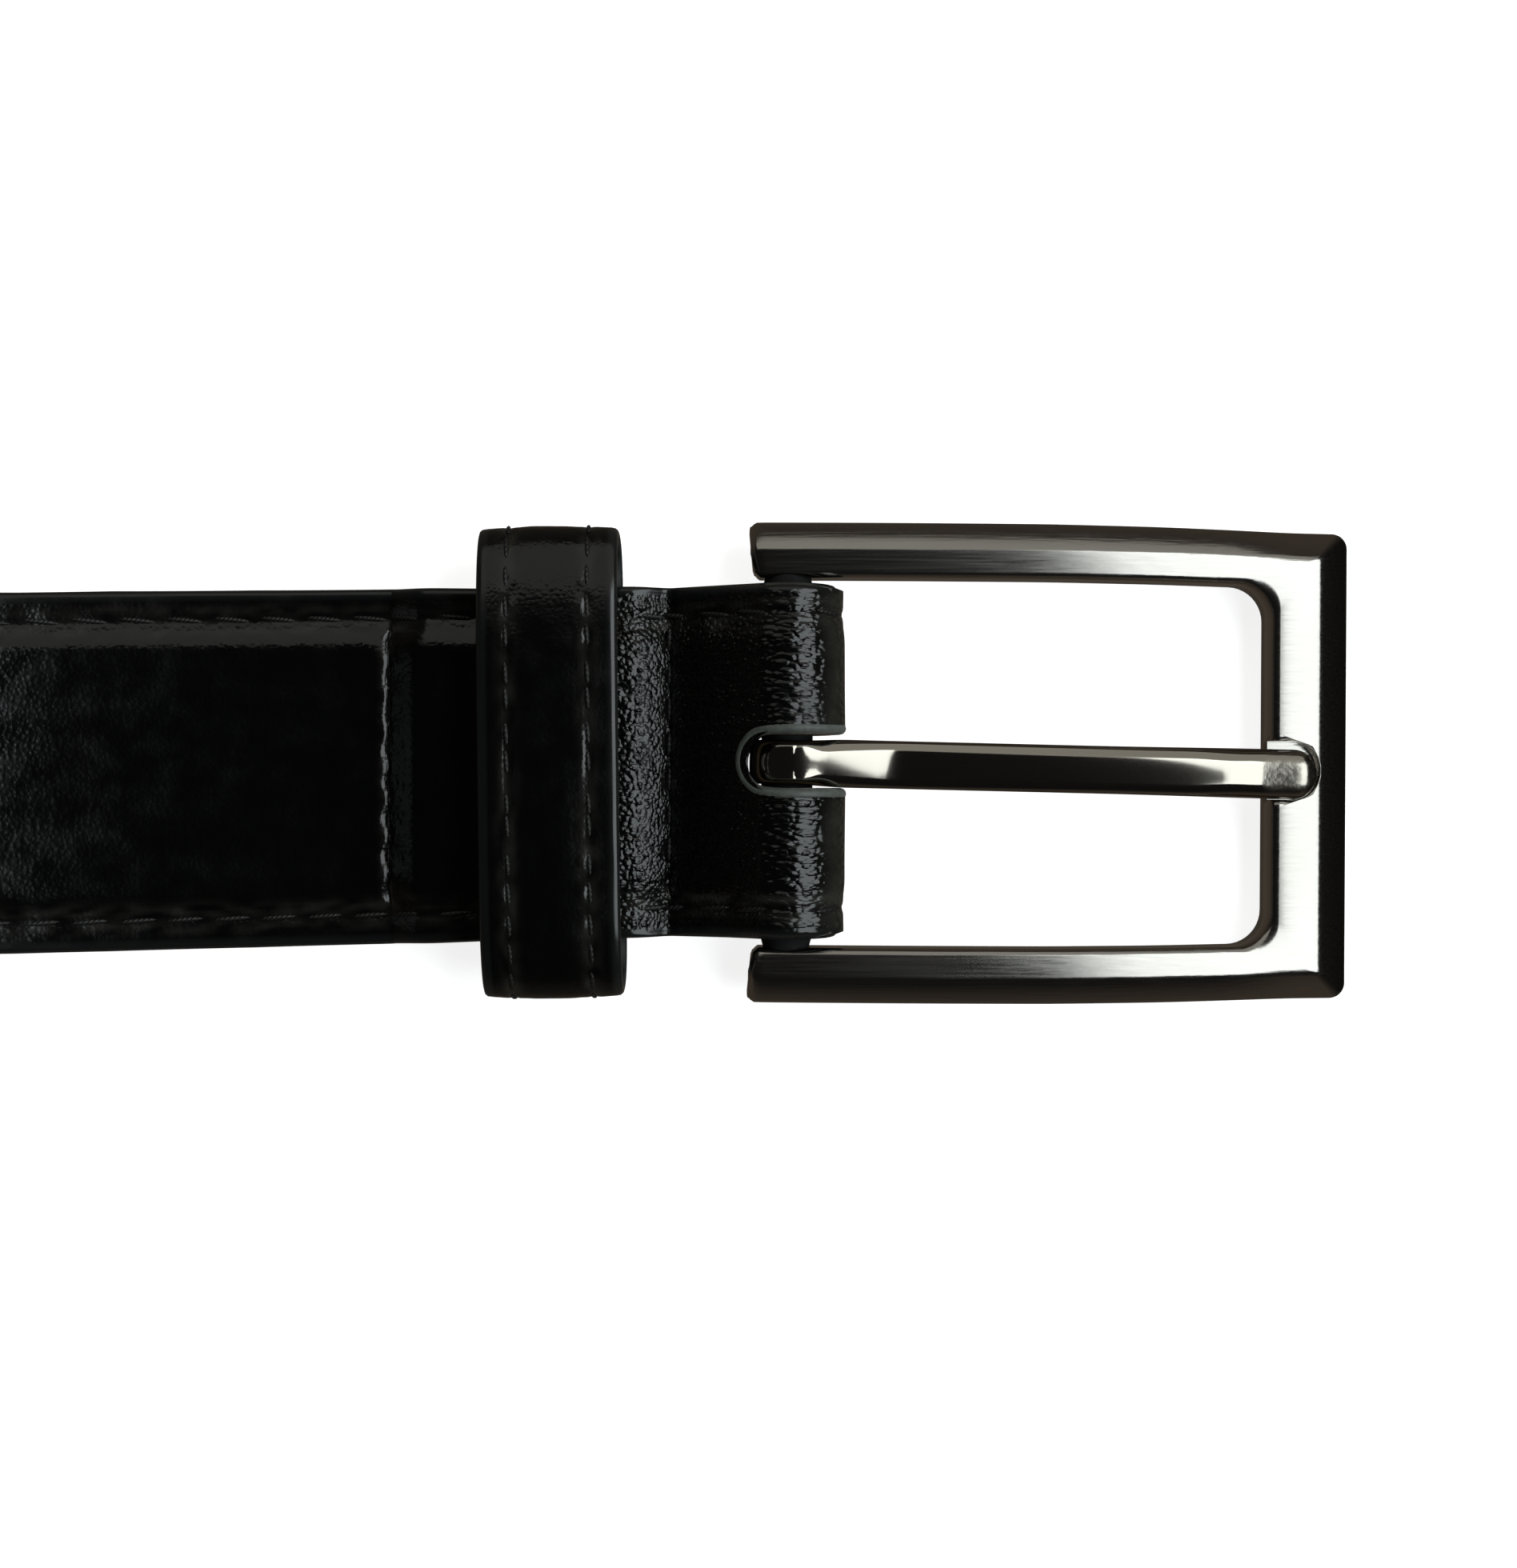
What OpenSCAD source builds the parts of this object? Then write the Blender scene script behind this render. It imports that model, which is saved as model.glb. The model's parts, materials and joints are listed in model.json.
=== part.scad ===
// A leather dress belt with a pin buckle and a loose keeper loop.
// The buckle end lies flat, grain side up; the rest of the strap climbs and is rolled up behind it.
// Millimetres. +X towards the buckle, +Y across the strap, +Z up, with the table at z = 0.

/* [Strap] */
// Width of the strap across its cut edges
strap_w = 35; // [30:0.5:38]
// Thickness of the top leather
face_t = 1.2; // [1:0.1:1.4]
// Thickness of the padding under the middle of the top leather
core_t = 0.6; // [0.4:0.1:0.8]
// Thickness of the lining
lining_t = 1.2; // [1:0.1:1.4]
// Distance from a cut edge to its row of stitching
row_inset = 2.9; // [2.4:0.1:3.4]
// Diameter of the prong holes
hole_d = 5.4; // [5:0.1:6]
// Distance between two prong holes
hole_pitch = 25; // [20:1:28]
// Number of prong holes
hole_count = 5; // [1:1:7]

/* [Fold at the buckle] */
// Distance from the heel bar to the front cross row
front_row = 11.85; // [11:0.05:13]
// Distance from the heel bar to the rear cross row
rear_row = 39.7; // [38:0.1:42]
// Thickness of the turned-back flap, which is pared down
flap_t = 1.8; // [1.6:0.1:2.2]
// Width of the prong slot
slot_w = 6.4; // [6.2:0.1:7]
// How far the slot reaches behind the heel bar
slot_reach = 4.8; // [4.7:0.1:5.2]

/* [Keeper] */
// Width of the keeper loop along the strap
keeper_w = 14.2; // [12:0.1:14.4]
// Distance from the heel bar to the middle of the keeper
keeper_back = 23.7; // [23.5:0.1:24.5]
// Width of the loop across the strap, outside
keeper_span = 46.9; // [44:0.1:48]
// Room in the loop for the tip of the belt, above the strap
keeper_gap = 5; // [4.5:0.1:6]

/* [Buckle] */
// Width of the frame across the strap
frame_w = 48.1; // [46.5:0.1:49]
// Distance from the heel bar to the outside of the end bar
frame_reach = 56.8; // [52:0.1:58]
// Width of the side bars
side_bar_w = 5.6; // [4.8:0.1:5.6]
// Width of the end bar
end_bar_w = 8.4; // [7:0.1:8.5]
// Thickness of the frame
frame_t = 5; // [4.6:0.1:5.2]
// Diameter of the heel bar
bar_d = 5.2; // [5:0.1:5.4]
// Width of the prong where it leaves the heel bar
prong_w = 5.2; // [4.6:0.1:5.4]

/* [Roll] */
// Half turns in the roll
half_turns = 10; // [6:2:12]
// Inside radius of the innermost half turn
hollow_r = 22.2; // [22:0.1:30]
// Gap between two turns
turn_gap = 0.4; // [0.3:0.1:0.8]

/* [Hidden] */
$fn = 96;

leather_colour = [0.07, 0.07, 0.07];
lining_colour = [0.13, 0.12, 0.11];
core_colour = [0.55, 0.5, 0.42];
thread_colour = [0.16, 0.15, 0.14];
frame_colour = [0.55, 0.54, 0.5];
prong_colour = [0.35, 0.33, 0.3];
staple_colour = [0.7, 0.7, 0.7];

// Strap layers, measured up from the back of the lining
strap_t = lining_t + core_t + face_t;
edge_t = lining_t + face_t;
row_y = strap_w / 2 - row_inset;
thread_w = 0.6;
thread_t = 0.2;
core_y = row_y - thread_w / 2;

// Fold round the heel bar
bar_r = bar_d / 2;
fold_r = bar_r + 0.1;
bar_z = fold_r + strap_t;
fold_lean = atan2(bar_z - flap_t, front_row) + asin(fold_r / norm([front_row, bar_z - flap_t]));
flap_gap = 0.05;
flap_end = rear_row + 4.3;
pare_end = 8;
row_flat = 0.5;

// Keeper and the room it slides in
keeper_t = 2;
keeper_face_t = 1.1;
back_t = 1.4;
back_face_t = 0.8;
keeper_clear = 0.25;
keeper_z = flap_t + keeper_clear;
hump_z = keeper_z + back_t + keeper_clear;
hump_front = keeper_back - keeper_w / 2 - 1.2;
hump_rear = keeper_back + keeper_w / 2 + 5.4;
keeper_h = hump_z + strap_t + keeper_gap + keeper_t - keeper_z;
keeper_r = 5.2;
keeper_row_inset = 2.9;
staple_w = 8;
staple_wire = 0.5;

// Climb from the flat end to the roll
climb_r = 100;
climb_angle = 23;
pitch = strap_t + turn_gap;
outer_r = hollow_r + (half_turns - 1) * pitch / 2;
roll_z = outer_r - pitch / 2 + strap_t;
turn_up_r = (roll_z - flap_t - climb_r * (1 - cos(climb_angle))) / cos(climb_angle);
turn_up_x = -flap_end - (climb_r - turn_up_r) * sin(climb_angle);
turn_up_z = flap_t + climb_r - (climb_r - turn_up_r) * cos(climb_angle);
roll_x = turn_up_x - turn_up_r - outer_r;

// Belt tip and prong holes, counted back from the end of the last half turn
tip_angle = 305;
first_hole = 93;

// Buckle, drawn in its own plane with the heel bar at the origin
arch_r = 320;
arch_x = 22;
arch_z = -sqrt(arch_r * arch_r - arch_x * arch_x);
half_frame_t = frame_t / 2;
end_slope_x = frame_reach - 3.2;
end_slope_drop = 1.9;
end_slope_top = arch_z + sqrt(arch_r * arch_r - pow(end_slope_x - arch_x, 2)) + half_frame_t;
end_wall_top = end_slope_top - end_slope_drop;
frame_tail = 3.7;
frame_lift = 0.15;
end_drop = half_frame_t - (arch_z + sqrt(arch_r * arch_r - pow(frame_reach - arch_x, 2)));
frame_tilt = asin((bar_z - end_drop - frame_lift) / frame_reach);
notch_w = 6.4;
notch_end = frame_reach - 3.3;
notch_floor = 0.25;
prong_bore_r = bar_r + 0.05;
prong_loop_r = prong_bore_r + 1.15;
prong_loop_w = prong_w - 0.8;
prong_tip = notch_end - 0.3;
prong_tip_w = 4.8;
prong_rest = notch_floor + 0.05;
prong_chamfer = 0.9;

// The heel bar's place, with the middle of the whole belt at x = 0
span_back = outer_r + strap_t - roll_x;
span_front = frame_reach * cos(frame_tilt) + end_wall_top * sin(frame_tilt);
bar_x = round(50 * (span_back - span_front)) / 100;

// The heights where the strap's pieces lie in its thickness: [from y, to y, low, high]
face_middle = [-core_y, core_y, lining_t + core_t, strap_t];
face_left = [core_y, strap_w / 2, lining_t, edge_t];
face_right = [-strap_w / 2, -core_y, lining_t, edge_t];
core_zone = [-core_y, core_y, lining_t, lining_t + core_t];
lining_zone = [-strap_w / 2, strap_w / 2, 0, lining_t];
thread_zone = [core_y, core_y + thread_w, edge_t, edge_t + thread_t];

// Points of an arc, without its first one, which ends the stretch before
function arc(x, z, r, from, to, steps) = [
    for (i = [1:steps])
        let (a = from + (to - from) * i / steps)
            [x + r * cos(a), z + r * sin(a)]
];

// The stretches of the strap from the end of its flap to its tip, at a height off in its thickness
function flap_line(off) = [
    [-flap_end, (strap_t - off) * (flap_t - flap_gap) / strap_t],
    [-pare_end, (strap_t - off) * (flap_t - flap_gap) / strap_t],
    [0, strap_t - off]
];
function fold_line(off) = arc(0, bar_z, fold_r + off, -90, 90 + fold_lean, 18);
function front_line(off) = [
    [-front_row + row_flat, flap_t + off],
    [-front_row - row_flat, flap_t + off],
    [-hump_front, hump_z + off],
    [-hump_rear, hump_z + off],
    [-rear_row + row_flat, flap_t + off],
    [-flap_end, flap_t + off]
];
function climb_line(off) = concat(
    arc(-flap_end, flap_t + climb_r, climb_r - off, 270, 270 - climb_angle, 4),
    arc(turn_up_x, turn_up_z, turn_up_r - off, 270 - climb_angle, 180, 8)
);
function roll_line(off) = [
    for (k = [0:half_turns - 1])
        let (start = 180 * (k % 2))
            each arc(turn_x(k), roll_z, turn_r(k) + off, start, start + 180, 20)
];
function strap_line(off) = concat(
    flap_line(off), fold_line(off), front_line(off), climb_line(off), roll_line(off)
);
function reversed(list) = [for (i = [len(list) - 1:-1:0]) list[i]];

// Half turn k of the roll: even ones pass over the top, odd ones under the bottom
function turn_r(k) = outer_r - k * pitch / 2;
function turn_x(k) = roll_x - (k % 2) * pitch / 2;
function turn_length(k) = PI * (turn_r(k) + strap_t / 2);
// [half turn, angle] of a place at distance s from the end of half turn k, going back
function place_in_roll(s, k) = s <= turn_length(k)
    ? [k, 180 + 180 * (k % 2) - 180 * s / turn_length(k)]
    : place_in_roll(s - turn_length(k), k - 1);

// Moves a shape drawn round the heel bar's foot to its place in the belt
module from_bar() {
    translate([bar_x, 0, 0]) children();
}

// A flat outline in the X-Z plane, given a width across the strap
module across(y_from, y_to) {
    translate([0, y_to, 0]) rotate([90, 0, 0]) linear_extrude(y_to - y_from) children();
}

module prong_slot() {
    translate([-slot_reach + slot_w / 2, 0, -1]) {
        cylinder(r = slot_w / 2, h = bar_z * 2 + 2);
        translate([0, -slot_w / 2, 0]) cube([slot_reach + bar_z, slot_w, bar_z * 2 + 2]);
    }
}

// Places children drawn along +X at an angle in a half turn
module in_roll(k, angle) {
    translate([turn_x(k), 0, roll_z]) rotate([0, -angle, 0]) children();
}

// What the rounded tip of the strap leaves out of the last half turn
module tip_waste() {
    k = half_turns - 1;
    low = turn_r(k) - turn_gap / 2;
    difference() {
        in_roll(k, 361)
            rotate([90, 0, 0])
                rotate_extrude(angle = 361 - tip_angle)
                    translate([low, -strap_w]) square([strap_t + turn_gap, 2 * strap_w]);
        in_roll(k, tip_angle) rotate([0, 90, 0]) cylinder(r = strap_w / 2, h = turn_r(k) * 2);
    }
}

module prong_holes() {
    for (i = [0:hole_count - 1]) {
        place = place_in_roll(first_hole + i * hole_pitch, half_turns - 1);
        in_roll(place[0], place[1])
            translate([turn_r(place[0]) - turn_gap / 2, 0, 0])
                rotate([0, 90, 0])
                    cylinder(d = hole_d, h = strap_t + turn_gap);
    }
}

// One piece of the strap's cross-section, followed along the whole strap
module along_strap(zone) {
    across(zone[0], zone[1])
        polygon(concat(strap_line(zone[2]), reversed(strap_line(zone[3]))));
}

// What is punched out of the strap
module punched() {
    prong_slot();
    prong_holes();
    tip_waste();
}

// The thread of one cross row: on the top of the strap and under the flap
module cross_row(x) {
    for (z = [flap_t + strap_t - thread_t, 0]) {
        translate([-x - thread_w / 2, -core_y + 1, z]) cube([thread_w, 2 * core_y - 2, thread_t]);
    }
}

// Outline of the keeper loop in the Y-Z plane, inset by wall and raised by floor
module loop_outline(wall, floor) {
    w = keeper_span - 2 * wall;
    h = keeper_h - wall - floor;
    r = keeper_r - wall;
    translate([-w / 2, keeper_z + floor]) {
        translate([r, 0]) square([w - 2 * r, h]);
        translate([0, r]) square([w, h - 2 * r]);
        for (y = [r, w - r], z = [r, h - r]) {
            translate([y, z]) circle(r = r);
        }
    }
}

// A slice of the keeper loop between two outlines
module loop_slice(length, wall_out, floor_out, wall_in, floor_in) {
    rotate([90, 0, 90])
        translate([0, 0, -length / 2])
            linear_extrude(length)
                difference() {
                    loop_outline(wall_out, floor_out);
                    loop_outline(wall_in, floor_in);
                }
}

module at_keeper() {
    from_bar() translate([-keeper_back, 0, 0]) children();
}

// The two ends of the keeper meet in the middle of its back
module keeper_butt() {
    translate([-keeper_w / 2 - 1, -0.1, keeper_z - 1]) cube([keeper_w + 2, 0.2, back_t + 2]);
}

module staple() {
    wide = staple_w + 2 * staple_wire;
    translate([-staple_wire / 2, -wide / 2, keeper_z]) {
        translate([0, 0, back_t - staple_wire]) cube([staple_wire, wide, staple_wire]);
        for (y = [0, wide - staple_wire]) {
            translate([0, y, 0]) cube([staple_wire, staple_wire, back_t]);
        }
        for (y = [0, wide - 3]) {
            translate([0, y, 0]) cube([staple_wire, 3, staple_wire / 2]);
        }
    }
}

// Grooves along both sides of the keeper's outside, at x from its middle
module keeper_thread(x) {
    translate([x, 0, 0]) loop_slice(thread_w, 0, 0, thread_t, thread_t);
}

// Places what is drawn in the plane of the buckle
module in_buckle() {
    from_bar() translate([0, 0, bar_z]) rotate([0, frame_tilt, 0]) children();
}

module frame_plan() {
    inner_y = frame_w / 2 - side_bar_w;
    inner_x = frame_reach - end_bar_w;
    corner = 1.6;
    fillet = 3.5;
    difference() {
        union() {
            translate([-frame_tail, -frame_w / 2]) square([frame_reach + frame_tail - corner, frame_w]);
            translate([0, -frame_w / 2 + corner]) square([frame_reach, frame_w - 2 * corner]);
            for (side = [-1, 1]) {
                translate([frame_reach - corner, side * (frame_w / 2 - corner)]) circle(r = corner);
            }
        }
        translate([-frame_tail - 1, -inner_y]) square([inner_x + frame_tail + 1 - fillet, 2 * inner_y]);
        translate([0, -inner_y + fillet]) square([inner_x, 2 * (inner_y - fillet)]);
        for (side = [-1, 1]) {
            translate([inner_x - fillet, side * (inner_y - fillet)]) circle(r = fillet);
        }
    }
}

// The arched slab that the frame is cut from, its long edges sloping outwards
module frame_slab() {
    y = frame_w / 2;
    ridge_y = y - side_bar_w / 2;
    translate([arch_x, 0, arch_z])
        rotate([90, 0, 0])
            rotate([0, 0, 80])
                rotate_extrude(angle = 20)
                    polygon([
                        [arch_r - half_frame_t, -y],
                        [arch_r + half_frame_t - 1.2, -y],
                        [arch_r + half_frame_t, -ridge_y],
                        [arch_r + half_frame_t, ridge_y],
                        [arch_r + half_frame_t - 1.2, y],
                        [arch_r - half_frame_t, y]
                    ]);
}

// The outside slope of the end bar
module end_slope() {
    across(-frame_w, frame_w)
        polygon([
            [end_slope_x, end_slope_top],
            [frame_reach, end_wall_top],
            [frame_reach + 1, end_wall_top],
            [frame_reach + 1, end_slope_top + 2],
            [end_slope_x, end_slope_top + 2]
        ]);
}

module tip_notch() {
    translate([notch_end - notch_w / 2, 0, notch_floor]) {
        cylinder(r = notch_w / 2, h = 6);
        translate([-10, -notch_w / 2, 0]) cube([10, notch_w, 6]);
    }
}

// The prong's shaft seen from the side
module shaft_side() {
    polygon([
        [0, prong_loop_r],
        [prong_tip - 3.2, prong_rest + 2.6],
        [prong_tip - 0.6, prong_rest + 1.9],
        [prong_tip, prong_rest + 1.1],
        [prong_tip - 0.4, prong_rest + 0.2],
        [prong_tip - 1.2, prong_rest],
        [frame_reach - end_bar_w - 2, prong_rest],
        [prong_loop_r, 1.1],
        [0, 1.1]
    ]);
}

// The prong's shaft seen from above
module shaft_plan() {
    r = prong_tip_w / 2;
    polygon([
        [0, -prong_w / 2], [prong_tip - r, -r],
        [prong_tip - r, r], [0, prong_w / 2]
    ]);
    translate([prong_tip - r, 0]) circle(r = r);
}

module round_bar(r, length) {
    rotate([90, 0, 0]) cylinder(r = r, h = length, center = true);
}

// The bevels along the prong's upper edges, just outside its top line
module prong_bevels() {
    fall = atan2(prong_loop_r - prong_rest - 2.6, prong_tip - 3.2);
    for (side = [0, 1]) {
        mirror([0, side, 0])
            translate([-8, prong_w / 2, prong_loop_r])
                rotate([0, fall, 0])
                    rotate([45, 0, 0])
                        translate([0, -prong_chamfer / sqrt(2), -4]) cube([80, 2, 8]);
    }
}

module strap_face() {
    color(leather_colour)
        from_bar()
            difference() {
                union() {
                    along_strap(face_middle);
                    along_strap(face_left);
                    along_strap(face_right);
                }
                punched();
                cross_row(front_row);
                cross_row(rear_row);
            }
}

module strap_core() {
    color(core_colour)
        from_bar()
            difference() {
                along_strap(core_zone);
                punched();
            }
}

module strap_lining() {
    color(lining_colour)
        from_bar()
            difference() {
                along_strap(lining_zone);
                punched();
            }
}

module edge_stitching() {
    from_bar()
        difference() {
            along_strap(thread_zone);
            tip_waste();
        }
}

module edge_stitching_left() {
    color(thread_colour) edge_stitching();
}

module edge_stitching_right() {
    color(thread_colour) mirror([0, 1, 0]) edge_stitching();
}

module front_cross_stitching() {
    color(thread_colour) from_bar() cross_row(front_row);
}

module rear_cross_stitching() {
    color(thread_colour) from_bar() cross_row(rear_row);
}

module keeper_face() {
    row_x = keeper_w / 2 - keeper_row_inset;
    color(leather_colour)
        at_keeper()
            difference() {
                loop_slice(keeper_w, 0, 0, keeper_face_t, back_face_t);
                keeper_thread(row_x);
                keeper_thread(-row_x);
                keeper_butt();
                staple();
            }
}

module keeper_lining() {
    color(lining_colour)
        at_keeper()
            difference() {
                loop_slice(keeper_w, keeper_face_t, back_face_t, keeper_t, back_t);
                keeper_butt();
                staple();
            }
}

module keeper_front_stitching() {
    color(thread_colour) at_keeper() keeper_thread(keeper_w / 2 - keeper_row_inset);
}

module keeper_rear_stitching() {
    color(thread_colour) at_keeper() keeper_thread(keeper_row_inset - keeper_w / 2);
}

module keeper_staple() {
    color(staple_colour) at_keeper() staple();
}

module buckle_frame() {
    inner_y = frame_w / 2 - side_bar_w;
    color(frame_colour)
        in_buckle()
            union() {
                difference() {
                    intersection() {
                        frame_slab();
                        translate([0, 0, -10]) linear_extrude(20) frame_plan();
                    }
                    end_slope();
                    tip_notch();
                }
                round_bar(bar_r, 2 * inner_y + 2);
            }
}

module prong() {
    color(prong_colour)
        in_buckle()
            difference() {
                union() {
                    intersection() {
                        across(-prong_w / 2, prong_w / 2) shaft_side();
                        translate([0, 0, -10]) linear_extrude(20) shaft_plan();
                    }
                    round_bar(prong_loop_r, prong_loop_w);
                }
                round_bar(prong_bore_r, prong_w + 1);
                prong_bevels();
            }
}

strap_face();
strap_core();
strap_lining();
edge_stitching_left();
edge_stitching_right();
front_cross_stitching();
rear_cross_stitching();
keeper_face();
keeper_lining();
keeper_front_stitching();
keeper_rear_stitching();
keeper_staple();
buckle_frame();
prong();
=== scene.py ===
# %% [markdown]
# # A leather dress belt with a pin buckle
#
# The belt is a padded strap with its grain side up. One end is folded round the heel bar of a
# nickel-plated buckle and sewn down in two cross rows, with a loose keeper loop held between them.
# The rest of the strap climbs behind and is rolled up. This lesson dresses the measured model:
# every soft part is shaped again in mesh code, with its padding, seams and stitches, and each
# finish is a material made of nodes.
#
# We begin by loading the measured model, which gives the bodies that move and their joints.

# %% Load the measured model
import json
import math

import bmesh
import bpy
from mathutils import Matrix, Vector, noise


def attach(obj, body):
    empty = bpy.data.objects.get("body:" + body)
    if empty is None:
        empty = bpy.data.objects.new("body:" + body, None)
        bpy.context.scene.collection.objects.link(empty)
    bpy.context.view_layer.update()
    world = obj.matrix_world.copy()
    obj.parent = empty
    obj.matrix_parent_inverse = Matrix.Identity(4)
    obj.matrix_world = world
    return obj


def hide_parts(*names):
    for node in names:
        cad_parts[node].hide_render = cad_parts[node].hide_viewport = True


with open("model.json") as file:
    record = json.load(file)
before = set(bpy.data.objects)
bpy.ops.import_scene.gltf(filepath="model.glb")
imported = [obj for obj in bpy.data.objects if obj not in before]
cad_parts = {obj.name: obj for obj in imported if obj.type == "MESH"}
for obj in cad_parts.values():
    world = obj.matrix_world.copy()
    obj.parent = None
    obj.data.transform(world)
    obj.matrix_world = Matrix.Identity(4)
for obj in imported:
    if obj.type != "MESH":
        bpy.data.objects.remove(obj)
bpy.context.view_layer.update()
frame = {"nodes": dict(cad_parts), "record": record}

# %% [markdown]
# ## Working in millimetres from the heel bar
#
# A belt maker measures everything from the bar that the strap folds round. The shapes below are
# drawn in millimetres from the foot of that bar, and one function turns them into metres and moves
# them to the place that the model gives the hinge.

# %% The heel bar's place
MM = 0.001
hinge = frame["record"]["behaviour"]["joints"][0]
bar_x = hinge["pos_m"][0]
bar_z = hinge["pos_m"][2] / MM
print(f"heel bar at x = {bar_x / MM:.2f} mm, {bar_z:.2f} mm above the table")

# %% [markdown]
# ## The camera
#
# The belt is seen from straight above, from about twenty centimetres, with a normal lens. The
# camera comes first because everything else is judged through it.

# %% Camera
camera_data = bpy.data.cameras.new("camera")
camera_data.lens = 48.5
camera_data.sensor_width = 36
camera_data.clip_start = 0.01
camera = bpy.data.objects.new("camera", camera_data)
camera.location = (bar_x - 2.86 * MM, -2.15 * MM, 0.218)
bpy.context.scene.collection.objects.link(camera)
bpy.context.scene.camera = camera
print("camera", round(camera.location.z, 3), "m above the table")

# %% [markdown]
# ## Small helpers for finishes
#
# A finish is a small tree of nodes. One function adds a node, sets its values and makes its links,
# and another turns a colour from the hex code of a paint card into the linear numbers that a
# renderer works with. Short ones add what nearly every finish has: a noise pattern, a range for a
# value, a mix of two colours and a bump. The last one joins colour, roughness and bumps to the
# shader.

# %% Helpers for finishes
def hex_colour(code):
    """An sRGB hex colour as linear red, green, blue and alpha."""
    parts = [int(code[i:i + 2], 16) / 255 for i in (1, 3, 5)]
    linear = [v / 12.92 if v <= 0.04045 else ((v + 0.055) / 1.055) ** 2.4 for v in parts]
    return (*linear, 1.0)


def new_finish(name):
    """A material with an empty tree but for its output and its Principled shader."""
    finish = bpy.data.materials.new(name)
    finish.use_nodes = True
    return finish, finish.node_tree, finish.node_tree.nodes["Principled BSDF"]


def add_node(tree, kind, settings=None, values=None, links=None):
    """A node with its settings, its sockets' values and what is linked into its sockets."""
    node = tree.nodes.new(kind)
    for name, value in (settings or {}).items():
        setattr(node, name, value)
    for name, value in (values or {}).items():
        node.inputs[name].default_value = value
    for name, socket in (links or {}).items():
        tree.links.new(socket, node.inputs[name])
    return node


def attribute(tree, name):
    """What a piece says of each of its points under that name."""
    return add_node(tree, "ShaderNodeAttribute", {"attribute_name": name}).outputs["Fac"]


def noise_at(tree, scale, detail=2.0, place=None):
    """A noise pattern, laid out in the piece's own metres or by the place that is given."""
    place = place or add_node(tree, "ShaderNodeTexCoord").outputs["Object"]
    pattern = add_node(tree, "ShaderNodeTexNoise", values={"Scale": scale, "Detail": detail},
                       links={"Vector": place})
    return pattern.outputs[0]


def ranged(tree, value, low, high, start=0.0, stop=1.0):
    """Goes from low to high while the value goes from start to stop."""
    limits = {"From Min": start, "From Max": stop, "To Min": low, "To Max": high}
    return add_node(tree, "ShaderNodeMapRange", values=limits, links={"Value": value}).outputs[0]


def two_tone(tree, share, low, high):
    """A colour that goes from one hex code to the other as the share goes from 0 to 1."""
    colours = {6: hex_colour(low), 7: hex_colour(high)}
    return add_node(tree, "ShaderNodeMix", {"data_type": "RGBA"}, colours, {0: share}).outputs[2]


def bumps(tree, height, strength, distance):
    """A surface that stands up by a height pattern."""
    values = {"Strength": strength, "Distance": distance}
    return add_node(tree, "ShaderNodeBump", values=values, links={"Height": height}).outputs[0]


def dress(tree, shader, colour, roughness, normal=None, metallic=0.0):
    """Gives the shader its looks, each of which is a plain value or comes from a node."""
    looks = {"Base Color": colour, "Roughness": roughness, "Normal": normal, "Metallic": metallic}
    for name, look in looks.items():
        if isinstance(look, bpy.types.NodeSocket):
            tree.links.new(look, shader.inputs[name])
        elif look is not None:
            shader.inputs[name].default_value = look
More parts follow.
